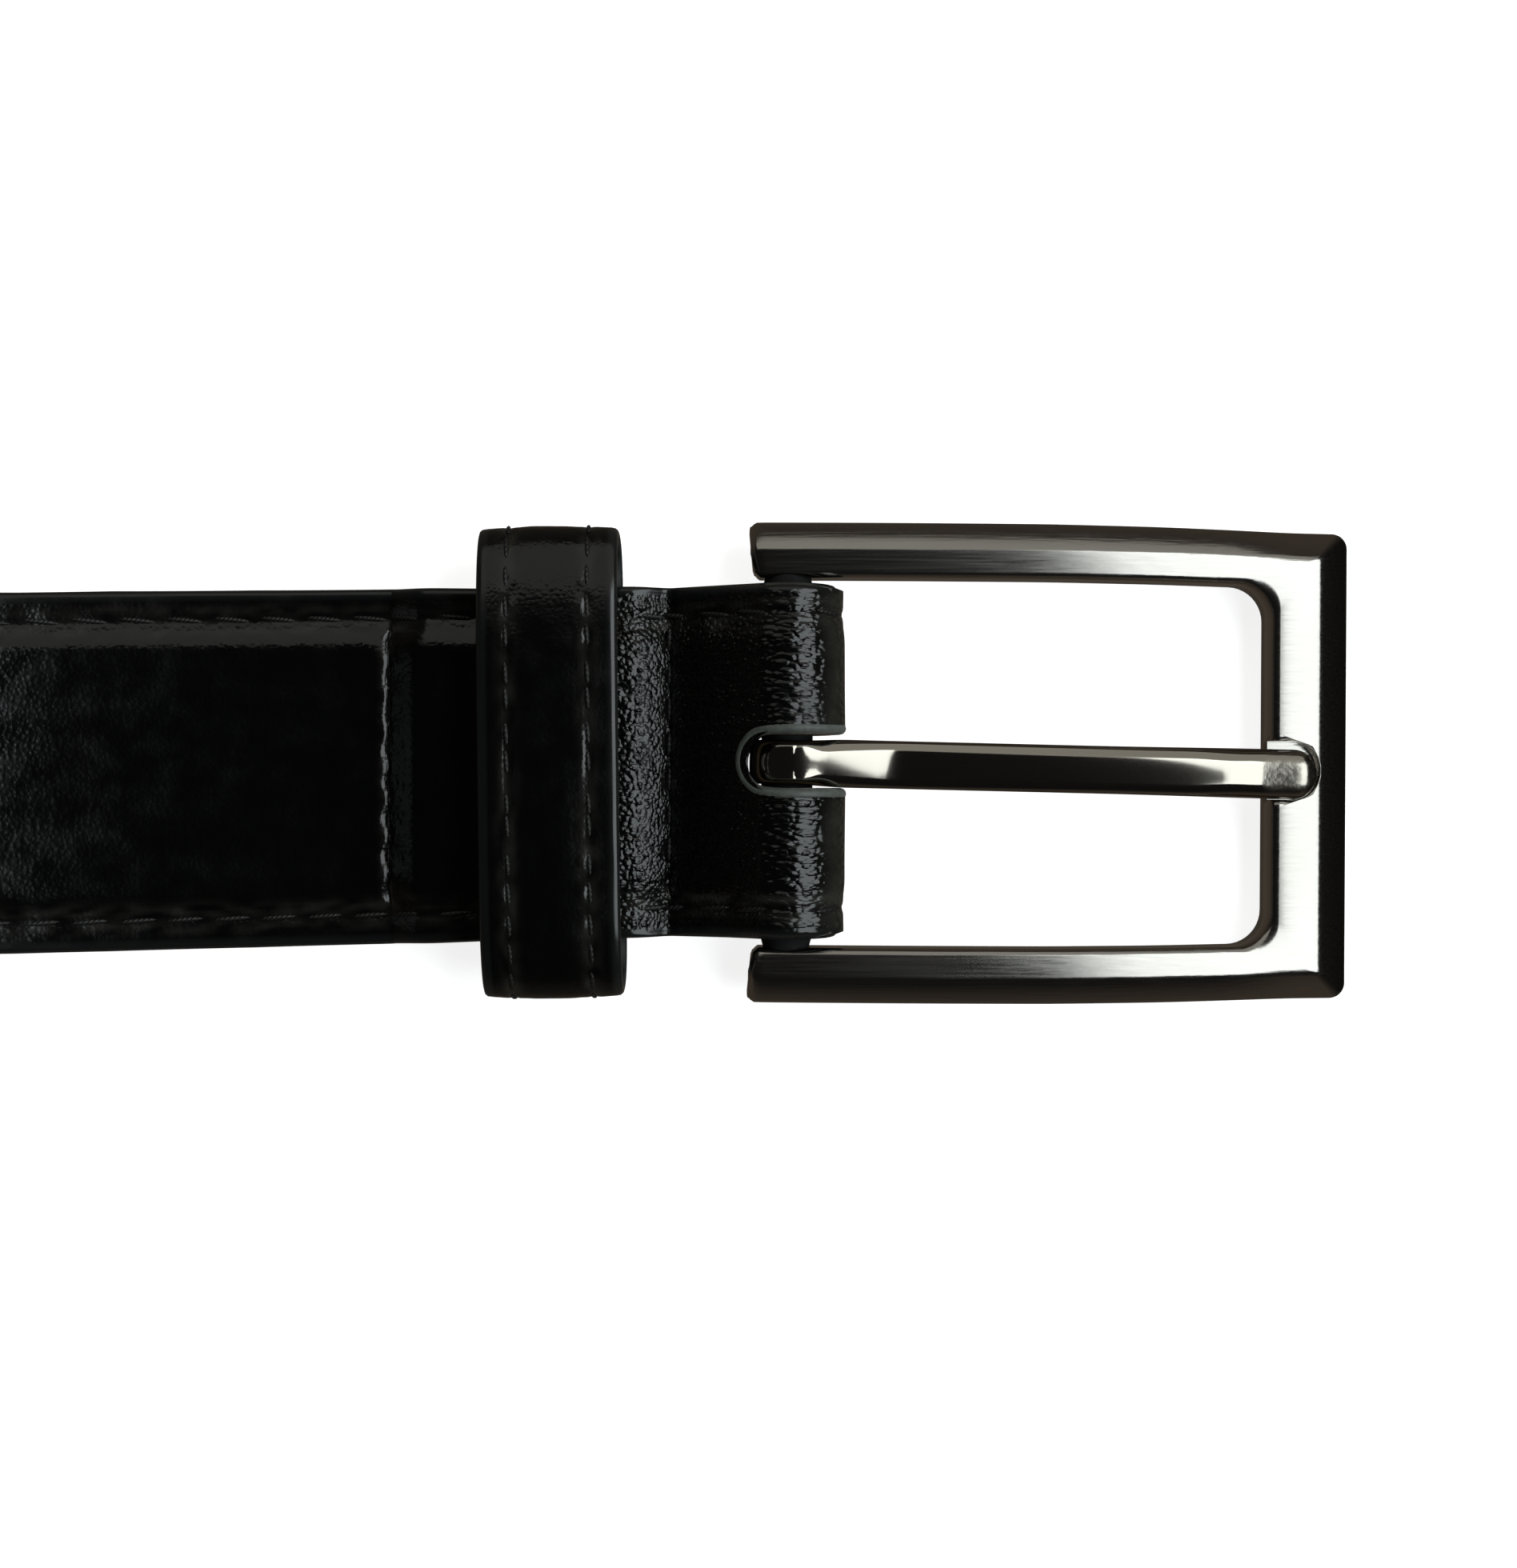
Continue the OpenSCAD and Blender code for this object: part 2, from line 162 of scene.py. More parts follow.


# %% [markdown]
# ## Grain leather
#
# The strap and the keeper are corrected-grain cow leather, dyed black and glazed. Up close such
# leather has pebbles about half a millimetre across, fine creases where it bends, and a soft
# unevenness under the glaze, so its shine is broken up rather than mirror-like. Pebbles come from
# a Voronoi pattern, creases from stretched noise. The pattern is laid out in the piece's own UV
# map, in metres along and across the leather, so that it follows the strap round its bends.
# Painted cut edges are smooth, the glaze is worn along the seams, the strap's fold has a paler
# painted sheen across its far side, and the grain stands up where the leather is flexed: three
# attributes say where, one for painted edges, one for seam wear together with the painted sheen and
# one for flexing.

# %% Leather finish
def leather(name, colour, wear_and_sheen_colour, grain_mm, crease_turn, shine, relief=1.0):
    """A leather with pebbles of that size, creases turned that far and a glaze that rough."""
    finish, tree, shader = new_finish(name)
    layout = add_node(tree, "ShaderNodeUVMap", {"uv_map": "leather"}).outputs[0]
    painted, wear_and_sheen, flexed = [attribute(tree, said) for said in ("painted", "wear_and_sheen", "flexed")]
    # The pebbles are pulled out of shape a little, so that no two are alike
    wander = add_node(tree, "ShaderNodeTexNoise", values={"Scale": 900.0, "Detail": 2.0},
                      links={"Vector": layout})
    shift = add_node(tree, "ShaderNodeVectorMath", {"operation": "MULTIPLY_ADD"},
                     {1: (0.0004, 0.0004, 0.0)}, {0: wander.outputs["Color"], 2: layout})
    pebbles = add_node(tree, "ShaderNodeTexVoronoi", {"feature": "SMOOTH_F1"},
                       {"Scale": 1000.0 / grain_mm, "Smoothness": 0.25}, {"Vector": shift.outputs[0]})
    turn = add_node(tree, "ShaderNodeMapping", {"vector_type": "POINT"},
                    {"Rotation": (0.0, 0.0, crease_turn), "Scale": (260.0, 1500.0, 1.0)},
                    {"Vector": layout})
    creases = noise_at(tree, 1.0, 3.0, turn.outputs[0])
    # The grain stands up where the leather is flexed, and painted edges have none
    bare = add_node(tree, "ShaderNodeMath", {"operation": "SUBTRACT", "use_clamp": True},
                    links={0: ranged(tree, flexed, 0.15, 1.0), 1: painted})
    crease_rise, grain_rise = [
        add_node(tree, "ShaderNodeMath", {"operation": "MULTIPLY"}, {1: share * relief},
                 {0: bare.outputs[0]}).outputs[0]
        for share in (0.5, 1.0)]
    low = bumps(tree, noise_at(tree, 120.0, 2.0, layout), 0.15 * relief, 0.0006)
    mid = add_node(tree, "ShaderNodeBump", {}, {"Distance": 0.00025},
                   {"Height": creases, "Normal": low, "Strength": crease_rise})
    fine = add_node(tree, "ShaderNodeBump", {"invert": True}, {"Distance": 0.00016},
                    {"Height": pebbles.outputs["Distance"], "Normal": mid.outputs[0],
                     "Strength": grain_rise})
    # The glaze is patchy and worn where the seams stand up; across the strap's fold the same paler colour is
    # a painted sheen
    patch = noise_at(tree, 300.0, 3.0, layout)
    rub_and_sheen = add_node(tree, "ShaderNodeMath", {"operation": "MULTIPLY", "use_clamp": True},
                   links={0: wear_and_sheen, 1: patch})
    tone = two_tone(tree, rub_and_sheen.outputs[0], colour, wear_and_sheen_colour)
    edge = add_node(tree, "ShaderNodeMix", {"data_type": "RGBA"}, {7: hex_colour("#1a1c1b")},
                    {0: painted, 6: tone})
    rough = ranged(tree, patch, shine - 0.05, shine + 0.08, 0.3, 0.7)
    dress(tree, shader, edge.outputs[2], rough, fine.outputs[0])
    shader.inputs["IOR"].default_value = 1.5
    return finish


# The paler second colour is seam wear, and on the strap's fold a painted sheen
strap_leather = leather("glazed_grain_leather", "#060606", "#3a3a34", 0.45, 0.5, 0.16)
keeper_leather = leather("glazed_keeper_leather", "#060606", "#3a3a34", 0.4, 0.9, 0.17, 0.35)
lining_leather = leather("split_lining_leather", "#191614", "#4b483a", 0.4, 0.2, 0.6, 0.6)
print("leathers:", strap_leather.name, keeper_leather.name, lining_leather.name)

# %% [markdown]
# ## Edge dressing
#
# The slot's edge is dressed with a greyish paint that stays satin, a little uneven where the brush
# left it.

# %% Edge dressing finish
edge_paint, tree, shader = new_finish("satin_edge_dressing")
strokes = noise_at(tree, 1600.0, 3.0)
tone = two_tone(tree, strokes, "#3f4440", "#666b66")
dress(tree, shader, tone, 0.5, bumps(tree, strokes, 0.4, 0.0002))

# %% [markdown]
# ## Padding board
#
# Between face and lining lies bonded leather board, pressed from fibres: brown, dry and matt. It
# shows only in the walls of the punched holes.

# %% Padding finish
padding_board, tree, shader = new_finish("bonded_leather_board")
dress(tree, shader, two_tone(tree, noise_at(tree, 2500.0, 4.0), "#4a3b2c", "#7a6850"), 0.9)

# %% [markdown]
# ## Waxed thread
#
# The seams are sewn with black waxed polyester thread, about 0.6 mm thick. Its plies are twisted,
# which shows as fine slanting lines, and the wax gives it a low sheen.

# %% Thread finish
waxed_thread, tree, shader = new_finish("waxed_polyester_thread")
place = add_node(tree, "ShaderNodeTexCoord")
turn = add_node(tree, "ShaderNodeMapping", {}, {"Rotation": (0.0, 0.0, 0.7)},
                {"Vector": place.outputs["Object"]})
plies = add_node(tree, "ShaderNodeTexWave", values={"Scale": 900.0, "Distortion": 1.0},
                 links={"Vector": turn.outputs[0]}).outputs["Fac"]
tone = two_tone(tree, plies, "#0d0d0d", "#1d1c1a")
dress(tree, shader, tone, 0.5, bumps(tree, plies, 0.5, 0.0001))

# %% [markdown]
# ## Brushed nickel
#
# The frame is cast zinc with a dark nickel plate, brushed lengthwise with a fine abrasive belt and
# lacquered. Brushing leaves thousands of parallel scratches some hundredths of a millimetre wide,
# which stretch every reflection across their direction. They are drawn a little coarser here, as
# noise pulled out seventy-five times along X, so that they show.

# %% Brushed nickel finish
brushed_nickel, tree, shader = new_finish("brushed_dark_nickel_plate")
place = add_node(tree, "ShaderNodeTexCoord")
pull = add_node(tree, "ShaderNodeMapping", {}, {"Scale": (60.0, 4500.0, 4500.0)},
                {"Vector": place.outputs["Object"]})
scratches = noise_at(tree, 1.0, 4.0, pull.outputs[0])
tone = two_tone(tree, noise_at(tree, 90.0), "#9f9b95", "#a9a6a2")
rough = ranged(tree, scratches, 0.14, 0.21, 0.3, 0.7)
dress(tree, shader, tone, rough, bumps(tree, scratches, 0.12, 0.0001), metallic=1.0)

# %% [markdown]
# ## Polished nickel
#
# The prong is drawn wire, polished before it was plated in the same dark nickel, so it mirrors the
# room. Its tip is scuffed by the holes that it is pushed through, which the attribute scuffed says.

# %% Polished nickel finish
polished_nickel, tree, shader = new_finish("polished_dark_nickel_plate")
rubs = add_node(tree, "ShaderNodeMath", {"operation": "MULTIPLY"},
                links={0: noise_at(tree, 1400.0, 5.0), 1: attribute(tree, "scuffed")}).outputs[0]
rough = ranged(tree, rubs, 0.07, 0.3, 0.0, 0.7)
dents = bumps(tree, rubs, 0.3, 0.0001)
dress(tree, shader, hex_colour("#a39e95"), rough, dents, metallic=1.0)

# %% [markdown]
# ## Painted shade on the heel bar
#
# The heel bar is given a dull, nearly black colour all over, painted shade for the shadow that the
# strap casts on it, so it gives no glint beside the leather.

# %% Painted shade finish for the heel bar
painted_shade_steel, tree, shader = new_finish("painted_shade_steel")
rough = ranged(tree, noise_at(tree, 900.0, 3.0), 0.75, 0.95)
# Painted shade: the near-black colour stands for the strap's shadow on the bar
dress(tree, shader, hex_colour("#040404"), rough)

# %% [markdown]
# ## Finishing a piece
#
# Most pieces are cleaned in the same way: doubled points are merged, open ends closed and the faces
# turned outwards. Every piece then goes from millimetres to metres and to the bar's place, the new
# object is told which body it moves with, and the measured parts that it stands for are hidden. Most
# pieces begin as a plain grid, whose vertices are then put in place one by one, by their column and row.

# %% Helpers for pieces
def clean(bm):
    """Merges doubled points, closes open ends and turns every face outwards."""
    bmesh.ops.remove_doubles(bm, verts=bm.verts, dist=0.0005)
    bmesh.ops.holes_fill(bm, edges=[e for e in bm.edges if e.is_boundary], sides=0)
    bmesh.ops.recalc_face_normals(bm, faces=bm.faces)


def to_place(bm):
    """Turns millimetres from the heel bar's foot into metres in the model."""
    bmesh.ops.scale(bm, vec=(MM, MM, MM), verts=bm.verts)
    bmesh.ops.translate(bm, vec=(bar_x, 0.0, 0.0), verts=bm.verts)


def object_from(bm, name):
    """Makes an object of what is drawn, as it stands."""
    mesh = bpy.data.meshes.new(name)
    bm.to_mesh(mesh)
    bm.free()
    thing = bpy.data.objects.new(name, mesh)
    bpy.context.scene.collection.objects.link(thing)
    return thing


def piece_from(bm, name, body, nodes, finish):
    """Makes the object of a piece drawn in millimetres from the heel bar's foot."""
    to_place(bm)
    for face in bm.faces:
        face.smooth = True
    piece = object_from(bm, name)
    piece.data.materials.append(finish)
    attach(piece, body)
    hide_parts(*nodes)
    print(f"{name}: {len(piece.data.polygons)} faces on {body}")
    return piece


def grid_spots(bm, across, down):
    """Adds a plain grid and gives its vertices one by one, with their columns and rows."""
    before = set(bm.verts)
    bmesh.ops.create_grid(bm, x_segments=across, y_segments=down, size=1.0)
    for vert in [v for v in bm.verts if v not in before]:
        yield vert, round((vert.co.x + 1) / 2 * across), round((vert.co.y + 1) / 2 * down)


def ease(low, high, value):
    """Goes smoothly from 0 at low to 1 at high, in either direction."""
    t = min(max((value - low) / (high - low), 0.0), 1.0)
    return t * t * (3 - 2 * t)


def bell(value, width):
    """1 at zero, falling smoothly to nothing a few widths away."""
    return math.exp(-(value / width) ** 2)


def rounded(left, reach):
    """The share of the full width that a rounded end has, left before its tip."""
    return math.sqrt(max(1 - max(1 - left / reach, 0.0) ** 2, 0.0))


def blunt(value, power):
    """A sine or cosine raised to a power, with its sign kept: under 1, it squares a circle off."""
    return math.copysign(abs(value) ** power, value)


# %% [markdown]
# ## The strap's path
#
# A strap is cut flat, so it is described best by a line that it follows, seen from the side, and
# by its cross-section. The line is the back of the lining: along the turned-back flap, round the
# heel bar, forwards over both cross rows and the hump over the keeper's back, up a gentle climb and
# round the roll. Straight runs and arcs are joined, and the run over the hump is then smoothed,
# because stiff leather makes no corners.

# %% Path of the strap
fold_r = 2.7
flap_t = 1.8
roll_z = 38.8
roll_x = -139.801
outer_r = 37.5
pitch = 3.4
front_row = 11.85
rear_row = 39.7
flap_end = 44.0


def arc(x, z, r, start, stop, steps):
    """Points along an arc in the X-Z plane, without its first one."""
    angles = [math.radians(start + (stop - start) * i / steps) for i in range(1, steps + 1)]
    return [(x + r * math.cos(a), z + r * math.sin(a)) for a in angles]


def straight(points, step):
    """Points at about that step along straight runs between some points, without the first."""
    line = []
    for (x0, z0), (x1, z1) in zip(points, points[1:]):
        count = max(1, round(math.dist((x0, z0), (x1, z1)) / step))
        line += [(x0 + (x1 - x0) * i / count, z0 + (z1 - z0) * i / count)
                 for i in range(1, count + 1)]
    return line


lean = 30.7164
flap_line = [(-flap_end, 1.75)] + straight([(-flap_end, 1.75), (-8, 1.75)], 3)
flap_line += straight([(-8, 1.75), (0, 3.0)], 1)
fold_line = arc(0, bar_z, fold_r, -90, 90 + lean, 36)
front_line = straight([fold_line[-1], (-11.6, flap_t), (-12.1, flap_t), (-15.6, 3.7), (-36, 3.7),
                       (-39.4, flap_t), (-flap_end, flap_t)], 0.35)
climb_line = arc(-flap_end, 101.8, 100, 270, 247, 60)
climb_line += arc(-70.7419, roll_z, 31.5593, 247, 180, 24)
for i in range(6):
    front_line = [front_line[0]] + [
        tuple((a + 2 * b + c) / 4 for a, b, c in zip(*three))
        for three in zip(front_line, front_line[1:], front_line[2:])
    ] + [front_line[-1]]
roll_line = []
for k in range(10):
    steps = 90 if k in (0, 1, 8, 9) else 30
    first = 180 * (k % 2)
    roll_line += arc(roll_x - (k % 2) * pitch / 2, roll_z, outer_r - k * pitch / 2,
                     first, first + 180, steps)
spine = flap_line + fold_line + front_line + climb_line + roll_line

# %% [markdown]
# Each point of the path becomes a station: its distance along the strap, its place, the direction
# square to the strap, and how far the strap is pared down there. In the valley at the front row the
# padded face can only follow a softer bend, so the directions there are averaged.

# %% Stations along the strap
stations = []
softened = []
along = 0.0
for i, (x, z) in enumerate(spine):
    before = spine[max(i - 1, 0)]
    after = spine[min(i + 1, len(spine) - 1)]
    step = Vector((after[0] - before[0], after[1] - before[1])).normalized()
    along += math.dist(before, (x, z)) if i else 0.0
    flap = i < len(flap_line)
    pared = 0.583 + 0.417 * ease(-8, 0, x) if flap else 1.0
    stations.append((along, x, z, step.y, -step.x, pared))
for row in [st for st in stations if -21 < st[1] < -5 and st[0] > 50]:
    i = next(k for k, st in enumerate(stations) if st[0] == row[0])
    near = [st for st in stations[i - 30:i + 31] if abs(st[0] - row[0]) < 3.2]
    square = Vector((sum(st[3] for st in near), sum(st[4] for st in near))).normalized()
    softened.append((i, row[:3] + (square.x, square.y, row[5])))
for i, st in softened:
    stations[i] = st
fold_start = stations[len(flap_line)][0]
fold_stop = stations[len(flap_line) + len(fold_line)][0]
front_stations = stations[len(flap_line) + len(fold_line):len(flap_line) + len(fold_line) + 200]
front_s = min(front_stations, key=lambda st: abs(st[1] + front_row))[0]
rear_s = min(front_stations, key=lambda st: abs(st[1] + rear_row))[0]
strap_end = stations[-1][0]
print(f"{len(stations)} stations, {strap_end:.0f} mm of strap, cross rows at {front_s:.1f} and {rear_s:.1f}")


def from_table(table, x):
    """The value at x on straight lines between a table's pairs, which go by falling x."""
    if x >= table[0][0]:
        return table[0][1]
    for (x0, v0), (x1, v1) in zip(table, table[1:]):
        if x >= x1:
            return v0 + (v1 - v0) * (x - x0) / (x1 - x0)
    return table[-1][1]


def station_at(s):
    """The station at a distance along the strap, between two that were measured."""
    low, high = 0, len(stations) - 1
    while high - low > 1:
        mid = (low + high) // 2
        if stations[mid][0] <= s:
            low = mid
        else:
            high = mid
    a, b = stations[low], stations[high]
    t = (s - a[0]) / max(b[0] - a[0], 1e-9)
    return tuple(u + (v - u) * t for u, v in zip(a, b))


# A worn strap strays a little to one side, and stretches a little in width beyond its buckle
stray = [(-5, 0.13), (-16, 0.04), (-31, -0.24), (-40, -0.38), (-54, -0.62), (-68, -0.87),
         (-77, -1.08), (-95, -1.2)]
spread = [(-5, 1.005), (-16, 1.011), (-31, 1.015), (-40, 1.028), (-54, 1.034), (-68, 1.031),
          (-77, 1.021), (-95, 1.0)]


def on_strap(station, y, height):
    """The place of a point y across the strap and some height above the back of its lining."""
    s, x, z, nx, nz, pared = station
    across = y * from_table(spread, x) + from_table(stray, x)
    return Vector((x + nx * height * pared, across, z + nz * height * pared))


# %% [markdown]
# ## The strap's surface
#
# The face leather is stretched over the padding and sewn to the lining beyond it, so it is crowned
# in the middle and falls to the seams. Thread pulled tight draws the leather down at each stitch
# and leaves a small swelling between stitches. The cross rows do the same across the strap.

# %% Height of the grain side
row_y = 14.6
edge_pitch = 4.7
cross_pitch = 3.5


def grain_height(s, y):
    """Height of the grain side above the back of the lining, s along and y across."""
    a = abs(y)
    fold = ease(fold_start - 3, fold_start + 3, s) * ease(fold_stop + 4, fold_stop - 2, s)
    height = 2.36 + 0.6 * fold + (0.6 - 0.45 * fold) * ease(14.1, 11.6, a) + 0.06 * ease(12, 0, a)
    height -= 0.35 * ease(front_s + 6.5, front_s + 0.8, s) * ease(front_s - 2.5, front_s + 0.5, s)
    beat = math.cos(2 * math.pi * s / edge_pitch)
    height -= bell(a - row_y, 0.4) * (0.16 - 0.06 * beat)
    height += bell(a - 13.5, 0.7) * 0.06 * beat + bell(a - 15.6, 0.5) * 0.04 * beat
    inside = ease(14.0, 13.0, a)
    cross = math.cos(2 * math.pi * y / cross_pitch)
    for row, ridge in ((front_s, 0.10), (rear_s, 0.15)):
        d = s - row + 0.25 * cross + 0.5 * noise.noise(Vector((y * 0.5, row, 1.0)))
        if abs(d) < 6:
            height -= inside * bell(d, 0.55) * (0.36 - 0.16 * cross)
            height += inside * bell(d - 1.3, 0.7) * ridge * (0.6 + 0.55 * cross)
            height += inside * bell(d + 1.5, 0.8) * (0.07 + 0.07 * cross)
    height += 0.05 * noise.noise(Vector((s * 0.11, y * 0.13, 3.0)))
    return height


def wear_and_fold_sheen(s, y):
    """How far the glaze is worn along the seams, where the leather stands up round the thread, with a
    painted sheen added across the far side of the fold.
    """
    a = abs(y)
    rub_and_sheen = bell(a - 13.7, 0.7) + 0.7 * bell(a - 15.4, 0.6)
    for row in (front_s, rear_s):
        rub_and_sheen += 0.6 * bell(abs(s - row) - 0.9, 0.5) * (a < 14)
    spots = noise.noise(Vector((s * 0.45, y * 1.3, 7.0)))
    rub_and_sheen *= 0.45 + 1.1 * spots
    # Painted sheen: a paler band across the far side of the fold, standing in for a highlight there
    rub_and_sheen += 0.9 * bell((s - fold_start) / (fold_stop - fold_start) - 0.56, 0.09)
    return min(max(rub_and_sheen, 0.0), 1.0)


# %% [markdown]
# ## A layer of the strap
#
# A layer is made like a paper tube pressed flat. A plain grid is created, its columns go once round
# the cross-section and its rows along the path, and the first and last columns meet and are merged.
# The columns stand close together at the edges and seams, where the shape changes fast. The layout
# of the leather is kept in a UV map, in metres along and round the section.

# %% Helper for wrapped layers
def wrapped(rows, ring, place, traits):
    """A closed skin: a grid whose columns follow a ring of marks and whose rows follow rows.
    place(row, mark) gives a point, traits(row, mark) its shares of painted edge, of wear together with
    painted sheen, and of flex."""
    bm = bmesh.new()
    layers = [bm.verts.layers.float.new(said) for said in ("painted", "wear_and_sheen", "flexed")]
    girth = [0.0]
    middle = rows[len(rows) // 2]
    for a, b in zip(ring, ring[1:] + ring[:1]):
        girth.append(girth[-1] + (place(middle, b) - place(middle, a)).length)
    spot = {}
    for vert, i, j in grid_spots(bm, len(ring), len(rows) - 1):
        row, mark = rows[j], ring[i % len(ring)]
        spot[vert] = (row[0] * MM, girth[i] * MM)
        vert.co = place(row, mark)
        for layer, share in zip(layers, traits(row, mark)):
            vert[layer] = share
    layout = bm.loops.layers.uv.new("leather")
    for face in bm.faces:
        for loop in face.loops:
            loop[layout].uv = spot[loop.vert]
    clean(bm)
    return bm


# %% [markdown]
# ## Cutting the holes
#
# The prong slot and the five prong holes are punched after the strap is sewn. A boolean with plain
# punches gives the crisp walls of a punched hole. Its result is kept and the punches are removed.

# %% Punches
first_hole = 93.0
hole_pitch = 25.0
hole_r = 2.7


def punches(slot_r, slot_end):
    """The slot's and the holes' punches as one object, the slot of that radius and that far back."""
    bm = bmesh.new()
    centre = slot_r - slot_end
    slot = bmesh.ops.create_cone(bm, cap_ends=True, segments=48, radius1=slot_r, radius2=slot_r,
                                 depth=14, matrix=Matrix.Translation((centre, 0, bar_z)))
    ahead = [v for v in slot["verts"] if v.co.x > centre + 0.01]
    bmesh.ops.translate(bm, vec=(12, 0, 0), verts=ahead)
    for i in range(5):
        s = strap_end - first_hole - i * hole_pitch
        st = min(stations, key=lambda st: abs(st[0] - s))
        turn = Vector((st[3], 0, st[4])).to_track_quat("Z", "Y").to_matrix().to_4x4()
        middle = Matrix.Translation(on_strap(st, 0, 1.5))
        bmesh.ops.create_cone(bm, cap_ends=True, segments=32, radius1=hole_r, radius2=hole_r,
                              depth=3.3, matrix=middle @ turn)
    to_place(bm)
    return object_from(bm, "punches")


def cut_with(piece, tool):
    """Cuts a tool's shape out of a piece and keeps the result as the piece's mesh."""
    cut = piece.modifiers.new("cut", "BOOLEAN")
    cut.operation = "DIFFERENCE"
    cut.object = tool
    cut.solver = "EXACT"
    cut.use_self = True
    graph = bpy.context.evaluated_depsgraph_get()
    result = bpy.data.meshes.new_from_object(piece.evaluated_get(graph))
    piece.modifiers.remove(cut)
    old = piece.data
    piece.data = result
    bpy.data.meshes.remove(old)
    result.name = piece.name
    print(f"{piece.name}: {len(result.polygons)} faces after cutting")


def drop(thing):
    """Removes a helper object and its mesh."""
    mesh = thing.data
    bpy.data.objects.remove(thing)
    bpy.data.meshes.remove(mesh)


punch = punches(3.2, 3.95)
narrow_punch = punches(2.75, 4.6)

# %% [markdown]
# ## Strap face
#
# The ring of marks goes over the grain side from one cut edge to the other and back underneath,
# where it makes room for the padding. The tip of the belt is rounded, by drawing in the marks of
# the last stations towards the middle.

# %% Strap face
def tip_share(s):
    """The share of the full width that the strap has at s, because its tip is rounded."""
    return max(rounded(strap_end - s, 17.5), 0.02)


def crowned_ring():
    """Marks (y, height) round the face leather; a height of None means the grain side."""
    right = [(17.5, 1.2), (17.5, 1.75), (17.42, 2.05), (17.22, 2.27), (16.95, None)]
    y = 16.6
    while y > 12.4:
        right.append((round(y, 2), None))
        y -= 0.3
    middle = [(round(12.3 - 0.6 * i, 2), None) for i in range(42)]
    left = [(-y, h) for y, h in reversed(right)]
    return right + middle + left + [(-14.3, 1.2), (-14.3, 1.8), (14.3, 1.8), (14.3, 1.2)]


def place_on_strap(station, mark):
    y, height = mark
    shrink = tip_share(station[0])
    if height is None:
        height = grain_height(station[0], y)
    return on_strap(station, y * shrink, height)


def strap_traits(station, mark):
    y, height = mark
    s = station[0]
    if height is not None:
        return 1.0, 0.0, 0.0
    flex = ease(fold_start, fold_start + 4, s) * ease(front_s + 8, front_s + 6, s)
    flex *= 1 - 0.5 * bell(s - front_s + 5, 3)
    # The second share is seam wear together with the fold's painted sheen
    return ease(16.3, 16.9, abs(y)), wear_and_fold_sheen(s, y), flex


bm = wrapped(stations, crowned_ring(), place_on_strap, strap_traits)
strap_face = piece_from(bm, "strap_face_leather", "strap", ["strap_face"],
                        strap_leather)
cut_with(strap_face, punch)

# %% [markdown]
# ## Padding and lining
#
# The padding is a thin strip inside the seams. The lining is a flat strip as wide as the strap,
# with its own rounded edge, seen from the back of the belt.

# %% Padding and lining
def flat_ring(half_width, low, high, turned):
    """Marks round a flat strip with edges rounded by turned."""
    right = [(half_width, low + turned), (half_width, high)]
    inner = [half_width - 1.5, half_width * 0.5, 0.0, -half_width * 0.5, 1.5 - half_width]
    left = [(-y, h) for y, h in reversed(right)]
    top = [(y, high) for y in inner]
    bottom = [(y, low) for y in [turned - half_width] + inner[::-1] + [half_width - turned]]
    return right + top + left + bottom


def plain_traits(station, mark):
    return (1.0 if abs(mark[0]) > 17 else 0.0), 0.0, 0.5


bm = wrapped(stations, flat_ring(14.25, 1.22, 1.78, 0.1), place_on_strap, plain_traits)
padding = piece_from(bm, "strap_padding", "strap", ["strap_core"], padding_board)
cut_with(padding, narrow_punch)
bm = wrapped(stations, flat_ring(17.5, 0.0, 1.18, 0.4), place_on_strap, plain_traits)
lining = piece_from(bm, "strap_lining_leather", "strap", ["strap_lining"],
                    lining_leather)
cut_with(lining, narrow_punch)
drop(punch)
drop(narrow_punch)

# %% [markdown]
# ## The dressed edge of the slot
#
# A punched slot is dressed: its cut edge is rubbed round and painted, which leaves a soft grey
# roll about a millimetre wide. It is a tube that follows the slot's outline over the grain side,
# round the fold on one side and back on the other.

# %% Slot edge
def add_tube(bm, points, radii, ups, segments):
    """A tube along points: a grid wrapped round the line, with a radius and an up for each point."""
    last = len(points) - 1
    for vert, i, j in grid_spots(bm, segments, last):
        run = Vector(points[min(j + 1, last)]) - Vector(points[max(j - 1, 0)])
        side = run.normalized().cross(ups[j]).normalized()
        out = side.cross(run.normalized())
        a = 2 * math.pi * i / segments
        vert.co = Vector(points[j]) + radii[j] * (side * math.cos(a) + out * math.sin(a))


slot_half = 3.25
slot_stop = -3.95
slot_outline = []
for st in stations:
    if fold_start + 1.2 < st[0] and st[1] + st[3] * 3 > slot_stop + slot_half and st[0] < front_s:
        slot_outline.append((st, slot_half))
turn_steps = 14
last = slot_outline[-1][0]
round_part = []
for i in range(1, turn_steps):
    a = math.pi / 2 * i / turn_steps
    reach = last[0] + slot_half * math.sin(a) * 1.12
    round_part.append((reach, slot_half * math.cos(a)))
half_line = slot_outline + [(station_at(s), y) for s, y in round_part]
half_line += [(station_at(last[0] + slot_half * 1.12), 0.0)]
line = half_line + [(st, -y) for st, y in reversed(half_line[:-1])]
rim = [on_strap(st, y, grain_height(st[0], 5) - 0.5) for st, y in line]
ups = [Vector((st[3], 0, st[4])) for st, y in line]
bm = bmesh.new()
add_tube(bm, rim, [0.6] * len(rim), ups, 12)
clean(bm)
piece_from(bm, "slot_edge", "strap", [], edge_paint)

# %% [markdown]
# ## Stitches
#
# A lockstitch shows as a row of short threads, each lying on the leather and diving into the next
# hole. Each one is a small sphere drawn out along the row, pressed flat and half sunk into the
# groove. There are hundreds, so each has only a few dozen faces.

